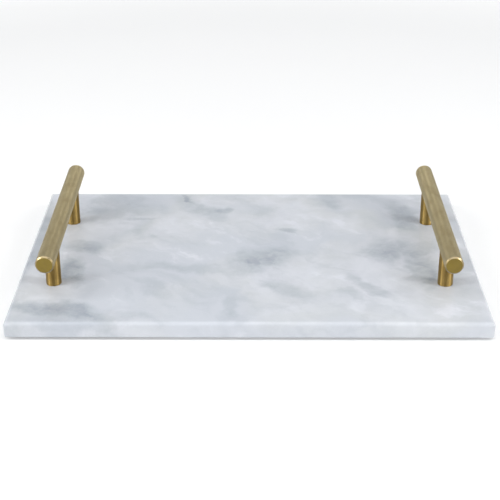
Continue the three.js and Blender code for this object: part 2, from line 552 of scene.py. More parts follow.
@dataclass(frozen=True)
class TurnedBrass(BarBrass):
    """Brass faced on a lathe, with fine rings round the bar's axis. Its colour is painted darker than the
    knurl's, as painted shade of the dim surroundings that the end faces reflect, and its rim on the chamfer
    is paler, as a painted highlight.
    """

    rim: float = 5.1 * MM
    # Painted highlight: the chamfer's paler colour stands in for the bright arc of light that it catches.
    bright: Colour = srgb(146, 130, 94)
    ring: float = 0.22 * MM

    def material(self) -> bpy.types.Material:
        """Build the material.

        Returns:
            The material.
        """
        shader, tarnish = self.start()
        radius = self.radius(shader)
        rings = shader.maths("SINE", radius * (2 * math.pi / self.ring)) * 0.5 + 0.5
        face = shader.blend(tarnish * 0.5, self.colour, self.tarnish)
        # Beyond the rim, on the chamfer, the colour turns to the painted highlight.
        shader.vary("Base Color", shader.blend(radius.ramp(self.rim, self.rim * 1.02), face, self.bright))
        shader.vary("Roughness", self.roughness + 0.08 * tarnish + 0.05 * rings)
        shader.bump(rings, 0.004 * MM, 0.7)
        shader.set(Coat_Weight=0.6, Coat_Roughness=0.12)
        return shader.material


@dataclass(frozen=True)
class PolishedBrass(Brass):
    """Polished and lacquered brass with a faint grain along the post and a few hairlines."""

    def material(self) -> bpy.types.Material:
        """Build the material.

        Returns:
            The material.
        """
        shader, tarnish = self.start()
        shader.vary("Base Color", shader.blend(tarnish * 0.45, self.colour, self.tarnish))
        grain = shader.noise(1.0, 3.0, 0.6, at=shader.mapped(reach=(0.5 * MM, 0.5 * MM, 12 * MM)))
        hairlines = abs(shader.noise(1.0, 1.0, at=shader.mapped(reach=(3 * MM, 3 * MM, 40 * MM))) - 0.5)
        scuffs = hairlines.ramp(0.0, 0.01, 1.0, 0.0)
        shader.vary("Roughness", self.roughness + 0.1 * tarnish + 0.05 * grain + 0.12 * scuffs)
        shader.bump(grain, 0.004 * MM, 0.5)
        shader.set(Anisotropic=0.95, Anisotropic_Rotation=0.25)
        return shader.material


@dataclass(frozen=True)
class ZincPlate:
    """Bright zinc plate with a bluish cast and a cloudy bloom."""

    bright: Colour = srgb(205, 208, 214)
    bloom: Colour = srgb(156, 160, 168)

    def material(self) -> bpy.types.Material:
        """Build the material.

        Returns:
            The material.
        """
        shader = Shader("zinc_plate")
        cloud = shader.noise(2.4 * MM, 4.0, 0.6)
        shader.vary("Base Color", shader.blend(cloud.ramp(0.35, 0.75), self.bright, self.bloom))
        shader.vary("Roughness", 0.29 + 0.22 * cloud)
        shader.bump(shader.noise(0.2 * MM, 2.0), 0.006 * MM, 0.6)
        shader.set(Metallic=1.0)
        return shader.material


@dataclass(frozen=True)
class SoftRubber:
    """Pale, faintly cloudy soft rubber with a moulded grain."""

    pale: Colour = srgb(214, 213, 208)
    scuffed: Colour = srgb(178, 176, 170)

    def material(self) -> bpy.types.Material:
        """Build the material.

        Returns:
            The material.
        """
        shader = Shader("soft_rubber")
        wear = shader.noise(3.5 * MM, 4.0, 0.65).ramp(0.45, 0.8)
        shader.vary("Base Color", shader.blend(wear, self.pale, self.scuffed))
        shader.vary("Roughness", 0.58 + 0.2 * wear)
        shader.bump(shader.noise(0.3 * MM, 2.0), 0.02 * MM, 0.5)
        shader.set(Sheen_Weight=0.2)
        return shader.material


@dataclass(frozen=True)
class FloorPaint:
    """The studio's matt pale floor, which glows more outwards until it melts into the surround."""

    white: Colour = (0.66, 0.66, 0.66, 1.0)
    near_glow: Colour = (0.24, 0.24, 0.24, 1.0)
    far_glow: Colour = (0.76, 0.76, 0.76, 1.0)
    near: float = 0.6
    far: float = 1.3

    def material(self) -> bpy.types.Material:
        """Build the material.

        Returns:
            The material.
        """
        shader = Shader("studio_floor")
        shader.surface.inputs["Base Color"].default_value = self.white
        distance = shader.length(shader.place).ramp(self.near, self.far)
        shader.vary("Emission Color", shader.blend(distance, self.near_glow, self.far_glow))
        shader.set(Roughness=0.9, Specular_IOR_Level=0.1, Emission_Strength=1.0)
        return shader.material


# --- Shapes -----------------------------------------------------------------------------------------


class Axis(Enum):
    """The way a round piece lies."""

    ALONG_Y = "y"
    UPRIGHT = "z"


class Cut(Enum):
    """What a boolean does with its cutters."""

    AWAY = "DIFFERENCE"
    TOGETHER = "UNION"


def add_object(name: str, mesh: bpy.types.Mesh) -> bpy.types.Object:
    """Put a mesh in the scene as an object at the origin."""
    made = bpy.data.objects.new(name, mesh)
    bpy.context.scene.collection.objects.link(made)
    return made


def smoothed(mesh: bpy.types.Mesh) -> bpy.types.Mesh:
    """Shade a mesh smooth but for its sharp edges."""
    mesh.shade_smooth()
    mesh.set_sharp_from_angle(angle=SMOOTH_ANGLE)
    return mesh


def solid(name: str, shape: bmesh.types.BMesh) -> bpy.types.Object:
    """Put edited geometry in the scene as an object.

    Args:
        name: The object's name.
        shape: The geometry, which is used up.

    Returns:
        The object.
    """
    mesh = bpy.data.meshes.new(name)
    shape.to_mesh(mesh)
    shape.free()
    return add_object(name, smoothed(mesh))


def apply_modifiers(piece: bpy.types.Object) -> None:
    """Turn what a piece's modifiers make into its plain mesh, and remove them."""
    evaluated = piece.evaluated_get(bpy.context.evaluated_depsgraph_get())
    mesh = bpy.data.meshes.new_from_object(evaluated)
    piece.modifiers.clear()
    piece.data = smoothed(mesh)


def turned(
    name: str,
    profile: Profile,
    segments: int = 64,
    centre: Point = (0, 0, 0),
    axis: Axis = Axis.UPRIGHT,
) -> bpy.types.Object:
    """Turn a profile about an axis into a closed object.

    Args:
        name: The object's name.
        profile: Pairs of radius and height, from the axis at the bottom to the axis at the top.
        segments: How many steps go round.
        centre: Where height 0 of the axis is.
        axis: The way the axis lies.

    Returns:
        The object.
    """
    shape = bmesh.new()
    rings = []
    for radius, height in profile:
        count = 1 if radius == 0 else segments
        ring = []
        for step in range(count):
            angle = 2 * math.pi * step / segments
            across, up = radius * math.cos(angle), radius * math.sin(angle)
            local = (up, height, across) if axis is Axis.ALONG_Y else (across, up, height)
            ring.append(shape.verts.new(Vector(centre) + Vector(local)))
        rings.append(ring)
    for lower, upper in zip(rings, rings[1:]):
        for step in range(segments):
            after = (step + 1) % segments
            corners = [lower[step % len(lower)], lower[after % len(lower)]]
            corners += [upper[after % len(upper)], upper[step % len(upper)]]
            shape.faces.new(list(dict.fromkeys(corners)))
    bmesh.ops.recalc_face_normals(shape, faces=shape.faces)
    return solid(name, shape)


def pin(radius: float, bottom: float, top: float) -> Profile:
    """List the profile of a plain round pin between two heights."""
    return [(0.0, bottom), (radius, bottom), (radius, top), (0.0, top)]


def rounded(radius: float, height: float, edge: float, top: bool = True, steps: int = 6) -> Profile:
    """List the points of a rounded edge on a turned profile.

    Args:
        radius: The full radius.
        height: The height of the flat face beside the edge.
        edge: The edge's own radius.
        top: Whether the face is at the top of the shape.
        steps: How many steps the quarter circle takes.

    Returns:
        The points, from the bottom up.
    """
    way = 1 if top else -1
    points = []
    for step in range(steps + 1):
        angle = math.pi / 2 * step / steps
        points.append((radius - edge + edge * math.cos(angle), height - way * edge * (1 - math.sin(angle))))
    return points if top else points[::-1]


def carve(piece: bpy.types.Object, cutters: list[bpy.types.Object], cut: Cut = Cut.AWAY) -> None:
    """Cut other shapes out of a piece, or join them to it, and remove them.

    Args:
        piece: The piece, whose mesh is replaced.
        cutters: The other shapes.
        cut: What is done with them.
    """
    for cutter in cutters:
        modifier = piece.modifiers.new("carve", "BOOLEAN")
        modifier.operation = cut.value
        modifier.solver = "EXACT"
        modifier.object = cutter
    apply_modifiers(piece)
    for cutter in cutters:
        bpy.data.objects.remove(cutter)


def paint(piece: bpy.types.Object, material: bpy.types.Material) -> None:
    """Give every face of a piece one material."""
    piece.data.materials.clear()
    piece.data.materials.append(material)
    piece.data.polygons.foreach_set("material_index", [0] * len(piece.data.polygons))


def fit(piece: bpy.types.Object, slot: str, *nodes: str) -> None:
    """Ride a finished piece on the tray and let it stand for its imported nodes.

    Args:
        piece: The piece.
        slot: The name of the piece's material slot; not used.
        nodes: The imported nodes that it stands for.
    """
    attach(piece, BODY)
    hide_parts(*nodes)
    log.info("%s: %d faces, stands for %s", piece.name, len(piece.data.polygons), ", ".join(nodes))


# --- Geometry node trees ----------------------------------------------------------------------------


class Input(Enum):
    """What an input of a geometry tree takes."""

    NUMBER = "NodeSocketFloat"
    COUNT = "NodeSocketInt"
    MATERIAL = "NodeSocketMaterial"
    OBJECT = "NodeSocketObject"


class ShapeTree(Tree):
    """A Geometry Nodes tree with named inputs, run once into a plain mesh."""

    def __init__(self, name: str) -> None:
        """Make an empty tree."""
        super().__init__(bpy.data.node_groups.new(name, "GeometryNodeTree"))
        self.nodes.interface.new_socket("Geometry", in_out="OUTPUT", socket_type="NodeSocketGeometry")
        self.keys: dict[str, str] = {}

    def input(self, name: str, kind: Input = Input.NUMBER) -> Value:
        """Add a named input.

        Args:
            name: The input's name.
            kind: What it takes.

        Returns:
            The input's socket inside the tree.
        """
        item = self.nodes.interface.new_socket(name, in_out="INPUT", socket_type=kind.value)
        self.keys[name] = item.identifier
        return Value(self, self.node("NodeGroupInput").outputs[name])

    def rolled(self, columns: Value, rows: Value) -> tuple[bpy.types.NodeSocket, Value, Value]:
        """Start from a flat net that is to be rolled into a tube.

        Args:
            columns: How many faces go round.
            rows: How many faces go along.

        Returns:
            The net, and each point's column and row.
        """
        inputs = {"Size X": 1.0, "Size Y": 1.0, "Vertices X": columns + 1, "Vertices Y": rows + 1}
        net = self.node("GeometryNodeMeshGrid", {}, inputs).outputs["Mesh"]
        x, y, _ = self.parts(self.node("GeometryNodeInputPosition").outputs["Position"])
        column = self.maths("ROUND", (x + 0.5) * columns)
        row = self.maths("ROUND", (y + 0.5) * rows)
        return net, column, row

    def random(self, inputs: dict[str, object]) -> Value:
        """Add a random number, with inputs that give its range, its seed and what it differs by."""
        return Value(self, self.output(self.node("FunctionNodeRandomValue", {}, inputs), "Value_001"))

    def closed(self, net: bpy.types.NodeSocket, place: bpy.types.NodeSocket) -> bpy.types.NodeSocket:
        """Put a net's points in their places, close its seam and poles, and split its faces in triangles."""
        moved = self.node("GeometryNodeSetPosition", {}, {"Geometry": net, "Position": place})
        inputs = {"Geometry": moved.outputs["Geometry"], "Distance": WELD}
        merged = self.node("GeometryNodeMergeByDistance", {}, inputs)
        settings = {"quad_method": "SHORTEST_DIAGONAL"}
        split = self.node("GeometryNodeTriangulate", settings, {"Mesh": merged.outputs["Geometry"]})
        return split.outputs["Mesh"]

    def finish(
        self,
        shape: bpy.types.NodeSocket,
        material: Value,
        other: Value | None = None,
        where: Value | None = None,
    ) -> None:
        """End the tree: real geometry, with its materials.

        Args:
            shape: The geometry so far.
            material: The material of every face.
            other: A second material.
            where: The faces that take the second material.
        """
        real = self.node("GeometryNodeRealizeInstances", {}, {"Geometry": shape}).outputs["Geometry"]
        made = self.node("GeometryNodeSetMaterial", {}, {"Geometry": real, "Material": material})
        if other is not None:
            inputs = {"Geometry": made.outputs["Geometry"], "Selection": where, "Material": other}
            made = self.node("GeometryNodeSetMaterial", {}, inputs)
        self.node("NodeGroupOutput", {}, {"Geometry": made.outputs["Geometry"]})

    def run(self, name: str, **values: object) -> bpy.types.Object:
        """Run the tree into a plain mesh.

        Args:
            name: The new object's name.
            values: The inputs' values, with underscores for spaces in their names.

        Returns:
            The object.
        """
        holder = add_object(name, bpy.data.meshes.new(name))
        modifier = holder.modifiers.new("shape", "NODES")
        modifier.node_group = self.nodes
        for key, value in values.items():
            modifier[self.keys[key.replace("_", " ")]] = value
        apply_modifiers(holder)
        holder.data.name = name
        return holder


# More rows than any bar has, so that each point of its net draws a wear of its own.
ROW_LIMIT = 4096


def knurled_bar_tree() -> ShapeTree:
    """Build the tree of a bar lying along Y, with a diamond knurl between two chamfered, plain ends.

    Its net is rolled round the bar. Two rows at each end make the flat face and the chamfer, and every second
    point of the rows between stands up as the crown of a diamond.

    Returns:
        The tree.
    """
    tree = ShapeTree("knurled bar")
    radius, length, chamfer = tree.input("Radius"), tree.input("Length"), tree.input("Chamfer")
    depth, wear = tree.input("Depth"), tree.input("Wear")
    columns, rows = tree.input("Columns", Input.COUNT), tree.input("Rows", Input.COUNT)
    seed = tree.input("Seed", Input.COUNT)
    knurled, plain = tree.input("Knurled", Input.MATERIAL), tree.input("Plain", Input.MATERIAL)

    net, column, row = tree.rolled(columns, rows + 4)
    along = (row - 2).most(0.0).least(rows)
    ends = (row > rows + 2.5) - (row < 1.5)
    y = (along / rows - 0.5) * (length - 2 * chamfer) + ends * chamfer
    crown = ((column + row) % 2) * (row > 2.5) * (row < rows + 1.5)
    point = column % columns * ROW_LIMIT + row
    worn = tree.random({"Min_001": 1 - wear, "Max_001": 1.0, "ID": point, "Seed": seed})
    groove = depth * (row > 2.5) * (row < rows + 1.5)
    height = radius - groove + groove * crown * worn - chamfer * abs(ends)
    height = height * (row > 0.5) * (row < rows + 3.5)
    angle = column / columns * (2 * math.pi)
    place = tree.vector(height * tree.maths("SINE", angle), y, height * tree.maths("COSINE", angle))
    shape = tree.closed(net, place)
    _, face_y, _ = tree.parts(tree.node("GeometryNodeInputPosition").outputs["Position"])
    at_ends = abs(face_y) > length * 0.5 - chamfer * 0.99
    tree.finish(shape, knurled, plain, at_ends)
    return tree


def threaded_rod_tree() -> ShapeTree:
    """Build the tree of an upright rod with a screw thread, standing at height 0.

    Returns:
        The tree.
    """
    tree = ShapeTree("threaded rod")
    radius, length, pitch, depth = (tree.input(name) for name in ("Radius", "Length", "Pitch", "Depth"))
    columns, rows = tree.input("Columns", Input.COUNT), tree.input("Rows", Input.COUNT)
    metal = tree.input("Metal", Input.MATERIAL)

    net, column, row = tree.rolled(columns, rows + 2)
    along = (row - 1).most(0.0).least(rows)
    z = along / rows * length
    turns = (z / pitch - column / columns) % 1.0
    ridge = 1 - abs(turns - 0.5) * 2
    run_out = (z / pitch).least((length - z) / pitch).least(1.0)
    height = radius - depth + depth * ridge * run_out
    height = height * (row > 0.5) * (row < rows + 1.5)
    angle = column / columns * (2 * math.pi)
    place = tree.vector(height * tree.maths("COSINE", angle), height * tree.maths("SINE", angle), z)
    tree.finish(tree.closed(net, place), metal)
    return tree


class CornerCopies(ShapeTree):
    """A tree that stands one copy of a piece at each corner of a rectangle, each turned its own way."""

    def __init__(self) -> None:
        """Build the tree."""
        super().__init__("corner copies")
        piece = self.input("Piece", Input.OBJECT)
        spacing_x, spacing_y = self.input("Spacing X"), self.input("Spacing Y")
        turn, seed = self.input("Turn"), self.input("Seed", Input.COUNT)
        material = self.input("Material", Input.MATERIAL)

        corners = {"Size X": spacing_x, "Size Y": spacing_y, "Vertices X": 2, "Vertices Y": 2}
        points = self.node("GeometryNodeMeshGrid", {}, corners).outputs["Mesh"]
        source = self.node("GeometryNodeObjectInfo", {}, {"Object": piece}).outputs["Geometry"]
        angle = self.random({"Min_001": 0.0, "Max_001": turn, "Seed": seed})
        inputs = {"Points": points, "Instance": source, "Rotation": self.vector(0.0, 0.0, angle)}
        copies = self.node("GeometryNodeInstanceOnPoints", {}, inputs).outputs["Instances"]
        self.finish(copies, material)

    def stand(
        self,
        name: str,
        pattern: bpy.types.Object,
        kind: str,
        material: bpy.types.Material,
        seed: int = 0,
        turn: float = math.pi,
    ) -> bpy.types.Object:
        """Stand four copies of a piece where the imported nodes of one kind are.

        Args:
            name: The new object's name.
            pattern: The piece to copy, centred on the origin in plan, which is used up.
            kind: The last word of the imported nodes' names.
            material: The copies' material.
            seed: What picks the copies' turns.
            turn: The most that a copy is turned.

        Returns:
            The copies, as one object.
        """
        far = middle(f"right_rear_{kind}")
        sizes = {"Spacing_X": 2 * far.x, "Spacing_Y": 2 * far.y, "Turn": turn}
        copies = self.run(name, Piece=pattern, Seed=seed, Material=material, **sizes)
        bpy.data.objects.remove(pattern)
        return copies


# --- Sub-assemblies ---------------------------------------------------------------------------------


@dataclass
class Fasteners:
    """What holds the handles: screws and washers in the slab's underside, and studs between post and bar."""

    thread_radius: float = 2 * MM
    thread_depth: float = 0.36 * MM
    thread_pitch: float = 0.7 * MM
    head_height: float = 2.6 * MM
    head_round: float = 1.5 * MM
    slot_length: float = 4.2 * MM
    slot_width: float = 0.9 * MM
    slot_depth: float = 1.4 * MM
    slot_floor: tuple[float, float] = (0.5, 0.8)
    socket_flats: float = 2 * MM
    socket_depth: float = 2 * MM
    washer_bore: float = 2.2 * MM
    washer_edge: float = 0.15 * MM
    columns: int = 32
    rows_per_turn: int = 6

    def build(self, copies: CornerCopies, metal: bpy.types.Material) -> dict[str, bpy.types.Object]:
        """Build the screws, washers and studs.

        Args:
            copies: The tree that copies a piece to the four corners.
            metal: The fasteners' material.

        Returns:
            The groups of four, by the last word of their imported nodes' names.
        """
        rods = threaded_rod_tree()
        screws = copies.stand("mounting_screws", self._screw(rods, metal), "screw", metal, seed=15)
        washers = copies.stand("washers", self._washer(), "washer", metal, seed=7)
        studs = copies.stand("studs", self._stud(rods, metal), "stud", metal, seed=5)
        return {"screw": screws, "washer": washers, "stud": studs}

    def dress(self, groups: dict[str, bpy.types.Object]) -> None:
        """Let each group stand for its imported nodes, in plated steel."""
        for kind, group in groups.items():
            fit(group, "plated_steel", *at_corners(kind))

    def _rod(self, rods: ShapeTree, metal: bpy.types.Material, bottom: float, top: float) -> bpy.types.Object:
        """Make a threaded rod between two heights."""
        length = top - bottom
        rod = rods.run(
            "rod",
            Radius=self.thread_radius,
            Length=length,
            Pitch=self.thread_pitch,
            Depth=self.thread_depth,
            Columns=self.columns,
            Rows=round(length / self.thread_pitch * self.rows_per_turn),
            Metal=metal,
        )
        rod.data.transform(Matrix.Translation((0, 0, bottom)))
        return rod

    def _screw(self, rods: ShapeTree, metal: bpy.types.Material) -> bpy.types.Object:
        """Make a pan-head screw with a cross recess, pointing up."""
        low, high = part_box("left_front_screw")
        radius = (high.x - low.x) / 2
        seat = low.z + self.head_height
        profile = [(0.0, low.z), *rounded(radius, low.z, self.head_round, top=False)]
        profile += [(radius, seat), (0.0, seat)]
        screw = turned("screw", profile)
        carve(screw, [self._rod(rods, metal, seat - self.slot_width / 2, high.z)], Cut.TOGETHER)
        carve(screw, [self._arm(low.z, turn) for turn in (0, math.pi / 2)])
        return screw

    def _arm(self, bottom: float, turn: float) -> bpy.types.Object:
        """Make the cutter of one arm of the cross recess, shorter and narrower at its floor."""
        shape = bmesh.new()
        bmesh.ops.create_cube(shape, size=1)
        size = Matrix.Diagonal((self.slot_length, self.slot_width, 2 * self.slot_depth, 1))
        bmesh.ops.transform(shape, matrix=size, verts=shape.verts)
        for vert in shape.verts:
            if vert.co.z > 0:
                vert.co.x *= self.slot_floor[0]
                vert.co.y *= self.slot_floor[1]
        placed = Matrix.Translation((0, 0, bottom)) @ Matrix.Rotation(turn, 4, "Z")
        bmesh.ops.transform(shape, matrix=placed, verts=shape.verts)
        return solid("arm", shape)

    def _washer(self) -> bpy.types.Object:
        """Make a flat washer with softened edges."""
        low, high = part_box("left_front_washer")
        radius = (high.x - low.x) / 2
        profile = [(0.0, low.z), *rounded(radius, low.z, self.washer_edge, top=False)]
        profile += [*rounded(radius, high.z, self.washer_edge), (0.0, high.z)]
        washer = turned("washer", profile)
        carve(washer, [turned("bore", pin(self.washer_bore, low.z - MM, high.z + MM))])
        return washer

    def _stud(self, rods: ShapeTree, metal: bpy.types.Material) -> bpy.types.Object:
        """Make a headless stud with a hexagonal socket in its top."""
        low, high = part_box("left_front_stud")
        stud = self._rod(rods, metal, low.z, high.z)
        corner = self.socket_flats / math.sqrt(3)
        carve(stud, [turned("socket", pin(corner, high.z - self.socket_depth, high.z + MM), segments=6)])
        return stud


@dataclass
class Slab:
    """The marble slab, with its edges rounded and a stepped hole for each mounting screw."""

    top_round: float = 2.4 * MM
    bottom_round: float = 0.8 * MM
    corner_radius: float = 1.2 * MM
    margin: float = 0.4 * MM
    recess_radius: float = 5 * MM
    hole_radius: float = 2.5 * MM
    arc_steps: int = 8
    corner_steps: int = 6

    def build(self, copies: CornerCopies, stone: bpy.types.Material) -> bpy.types.Object:
        """Build the slab.

        Args:
            copies: The tree that copies a piece to the four corners.
            stone: The slab's material.

        Returns:
            The slab.
        """
        low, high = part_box("marble_slab")
        washer_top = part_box("left_front_washer")[1].z
        hole = [
            (0.0, low.z - MM),
            (self.recess_radius, low.z - MM),
            (self.recess_radius, washer_top),
            (self.hole_radius, washer_top),
            (self.hole_radius, high.z + MM),
            (0.0, high.z + MM),
        ]
        slab = self._block(low, high)
        carve(slab, [copies.stand("holes", turned("hole", hole), "screw", stone, turn=0.0)])
        return slab

    def dress(self, slab: bpy.types.Object, stone: bpy.types.Material) -> None:
        """Give the slab its stone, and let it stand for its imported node."""
        paint(slab, stone)
        fit(slab, "marble", "marble_slab")

    def _levels(self, low: Vector, high: Vector) -> Profile:
        """List how far each level of the edge stands in, from the middle of the underside to that of the top.

        Args:
            low: The slab's lowest corner.
            high: The slab's highest corner.

        Returns:
            Pairs of inset and height.
        """
        levels = [(self.bottom_round + self.margin, low.z)]
        for outset, height in rounded(0.0, low.z, self.bottom_round, top=False, steps=self.arc_steps):
            levels.append((-outset, height))
        levels.append((0.0, low.z + self.bottom_round + self.margin))
        levels.append((0.0, high.z - self.top_round - self.margin))
        for outset, height in rounded(0.0, high.z, self.top_round, steps=self.arc_steps):
            levels.append((-outset, height))
        levels.append((self.top_round + self.margin, high.z))
        return levels

    def _outline(self, half_x: float, half_y: float, inset: float) -> Profile:
        """List the points round the slab at one level.

        Args:
            half_x: Half the slab's length.
            half_y: Half the slab's depth.
            inset: How far the level stands in from the slab's sides.

        Returns:
            The points, anticlockwise, as many at every level.
        """
        radius = max(self.corner_radius - inset, 0.0)
        points = []
        for quarter, (way_x, way_y) in enumerate(((1, 1), (-1, 1), (-1, -1), (1, -1))):
            centre_x = way_x * (half_x - inset - radius)
            centre_y = way_y * (half_y - inset - radius)
            for step in range(self.corner_steps + 1):
                angle = math.pi / 2 * (quarter + step / self.corner_steps)
                points.append((centre_x + radius * math.cos(angle), centre_y + radius * math.sin(angle)))
        return points

    def _block(self, low: Vector, high: Vector) -> bpy.types.Object:
        """Build the slab between its lowest and highest corners, without its holes."""
        shape = bmesh.new()
        rings = []
        for inset, height in self._levels(low, high):
            outline = self._outline(high.x, high.y, inset)
            rings.append([shape.verts.new((x, y, height)) for x, y in outline])
        for lower, upper in zip(rings, rings[1:]):
            for step in range(len(lower)):
                after = (step + 1) % len(lower)
                shape.faces.new((lower[step], lower[after], upper[after], upper[step]))
        shape.faces.new(rings[0][::-1])
        shape.faces.new(rings[-1])
        bmesh.ops.remove_doubles(shape, verts=shape.verts, dist=WELD)
        return solid("slab", shape)


@dataclass
class Handle:
    """One handle: a knurled bar on two posts."""

    side: str
    chamfer: float = 0.9 * MM
    knurl_depth: float = 0.15 * MM
    knurl_wear: float = 0.18
    columns: int = 84
    post_chamfer: float = 0.4 * MM
    bore_radius: float = 2.1 * MM
    web: float = 3 * MM
    seat_gap: float = 0.03 * MM
    post_steps: int = 72
    saddle_steps: int = 96
    bore_steps: int = 32
    first_seed: int = 3

    def build(self, bars: ShapeTree, finishes: "HandleFinishes") -> dict[str, bpy.types.Object]:
        """Build the bar and its posts.

        Args:
            bars: The tree of a knurled bar.
            finishes: The handle's materials.

        Returns:
            The bar and the posts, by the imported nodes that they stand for.
        """
        built = {f"{self.side}_handle_bar": self._bar(bars, finishes)}
        for end in ENDS:
            built[f"{self.side}_{end}_post"] = self._post(f"{self.side}_{end}")
        return built

    def dress(self, built: dict[str, bpy.types.Object], finishes: "HandleFinishes") -> None:
        """Polish the posts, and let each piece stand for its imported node.

        Args:
            built: The pieces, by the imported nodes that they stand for.
            finishes: The handle's materials.
        """
        for node, piece in built.items():
            if node.endswith("_post"):
                paint(piece, finishes.polished)
                fit(piece, "polished_brass", node)
            else:
                fit(piece, "knurled_brass", node)

    def _bar(self, bars: ShapeTree, finishes: "HandleFinishes") -> bpy.types.Object:
        """Build the bar, in its two finishes, with the bores for its studs."""
        node = f"{self.side}_handle_bar"
        centre, size = middle(node), span(node)
        radius = size.z / 2
        pitch = 2 * math.pi * radius / self.columns
        bar = bars.run(
            f"{self.side}_knurled_bar",
            Radius=radius,
            Length=size.y,
            Chamfer=self.chamfer,
            Depth=self.knurl_depth,
            Wear=self.knurl_wear,
            Columns=self.columns,
            Rows=round((size.y - 2 * self.chamfer) / pitch),
            Seed=SIDES.index(self.side) + self.first_seed,
            Knurled=finishes.knurled[self.side],
            Plain=finishes.turned[self.side],
        )
        bar.data.transform(Matrix.Translation(centre))
        cutters = []
        for end in ENDS:
            stud_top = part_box(f"{self.side}_{end}_stud")[1].z
            profile = pin(self.bore_radius, centre.z - radius - MM, stud_top + MM)
            place = (centre.x, middle(f"{self.side}_{end}_post").y, 0)
            cutters.append(turned("bore", profile, self.bore_steps, place))
            cutters[-1].data.materials.append(finishes.turned[self.side])
        carve(bar, cutters)
        return bar

    def _post(self, corner: str) -> bpy.types.Object:
        """Build a post, hollowed at its top to seat the bar, with a blind bore at each end."""
        low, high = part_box(f"{corner}_post")
        centre, bar = middle(f"{corner}_post"), middle(f"{self.side}_handle_bar")
        radius = (high.x - low.x) / 2
        foot = (centre.x, centre.y, 0)
        profile = [(0.0, low.z), *rounded(radius, low.z, self.post_chamfer, top=False)]
        profile += [(radius, bar.z), (0.0, bar.z)]
        post = turned(f"{corner}_brass_post", profile, self.post_steps, foot)
        saddle_radius = span(f"{self.side}_handle_bar").z / 2 + self.seat_gap
        saddle = pin(saddle_radius, -radius - MM, radius + MM)
        cutters = [turned("saddle", saddle, self.saddle_steps, (bar.x, centre.y, bar.z), Axis.ALONG_Y)]
        seat = bar.z - saddle_radius
        bore_depth = (seat - low.z - self.web) / 2
        for bottom, top in ((low.z - MM, low.z + bore_depth), (seat - bore_depth, bar.z)):
            cutters.append(turned("bore", pin(self.bore_radius, bottom, top), self.bore_steps, foot))
        carve(post, cutters)
        return post


@dataclass
class HandleFinishes:
    """The brass materials of both handles. A bar's patterns are centred on its own axis."""

    knurled: dict[str, bpy.types.Material]
    turned: dict[str, bpy.types.Material]
    polished: bpy.types.Material

    @classmethod
    def make(cls) -> "HandleFinishes":
        """Build the materials.

        Returns:
            The finishes.
        """
        knurled, turned_ends = {}, {}
        for side in SIDES:
            axis, size = middle(f"{side}_handle_bar"), span(f"{side}_handle_bar")
            knurled[side] = KnurledBrass(
                name=f"knurled_brass_{side}",
                # Painted sheen: the knurl's brass is pale and greyish, standing in for the whitish light that
                # the knurl reflects.
                colour=srgb(197, 184, 145),
                tarnish=srgb(134, 116, 82),
                roughness=0.33,
                patch=(5 * MM, 16 * MM, 5 * MM),
                crown=size.z / 2,
                depth=Handle.knurl_depth,
                axis_x=axis.x,
                axis_z=axis.z,
            ).material()
            turned_ends[side] = TurnedBrass(
                name=f"turned_brass_{side}",
                # Painted shade: the end faces' brass is darker than the knurl's, for the dim surroundings
                # that they reflect.
                colour=srgb(129, 110, 42),
                tarnish=srgb(108, 90, 34),
                roughness=0.3,
                axis_x=axis.x,
                axis_z=axis.z,
                rim=size.z / 2 - Handle.chamfer,
            ).material()
        polished = PolishedBrass(
            name="polished_brass", colour=srgb(168, 142, 86), tarnish=srgb(132, 108, 58), roughness=0.46
        ).material()
        return cls(knurled, turned_ends, polished)


@dataclass
class Feet:
    """The four soft feet: low round pads with a shallow cup underneath."""

    edge: float = 0.5 * MM
    cup_radius: float = 3.4 * MM
    cup_depth: float = 0.4 * MM
    cup_flat: float = 0.6

    def build(self, copies: CornerCopies, rubber: bpy.types.Material) -> bpy.types.Object:
        """Build the feet.

        Args:
            copies: The tree that copies a piece to the four corners.
            rubber: The feet's material.

        Returns:
            The four feet.
        """
        low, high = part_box("left_front_foot")
        radius = (high.x - low.x) / 2
        roof = low.z + self.cup_depth
        profile = [(0.0, roof), (self.cup_radius * self.cup_flat, roof), (self.cup_radius, low.z)]
        profile += [*rounded(radius, low.z, self.edge, top=False), (radius, high.z), (0.0, high.z)]
        return copies.stand("soft_feet", turned("foot", profile), "foot", rubber, seed=5)

    def dress(self, feet: bpy.types.Object) -> None:
        """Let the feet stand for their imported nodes, in soft rubber."""
        fit(feet, "soft_rubber", *at_corners("foot"))


# --- Studio -----------------------------------------------------------------------------------------


@dataclass
class Softbox:
    """A soft rectangular lamp that looks at the tray."""

    name: str
    place: Point
    width: float
    height: float
    power: float
    target: Point = (0.0, 0.0, 12 * MM)

    def light(self) -> None:
        """Hang the lamp and aim it."""
        data = bpy.data.lights.new(self.name, "AREA")
        data.shape = "RECTANGLE"
        data.size, data.size_y = self.width, self.height
        data.energy = self.power
        lamp = bpy.data.objects.new(self.name, data)
        lamp.location = self.place
        lamp.rotation_euler = (Vector(self.target) - lamp.location).to_track_quat("-Z", "Y").to_euler()
        bpy.context.scene.collection.objects.link(lamp)


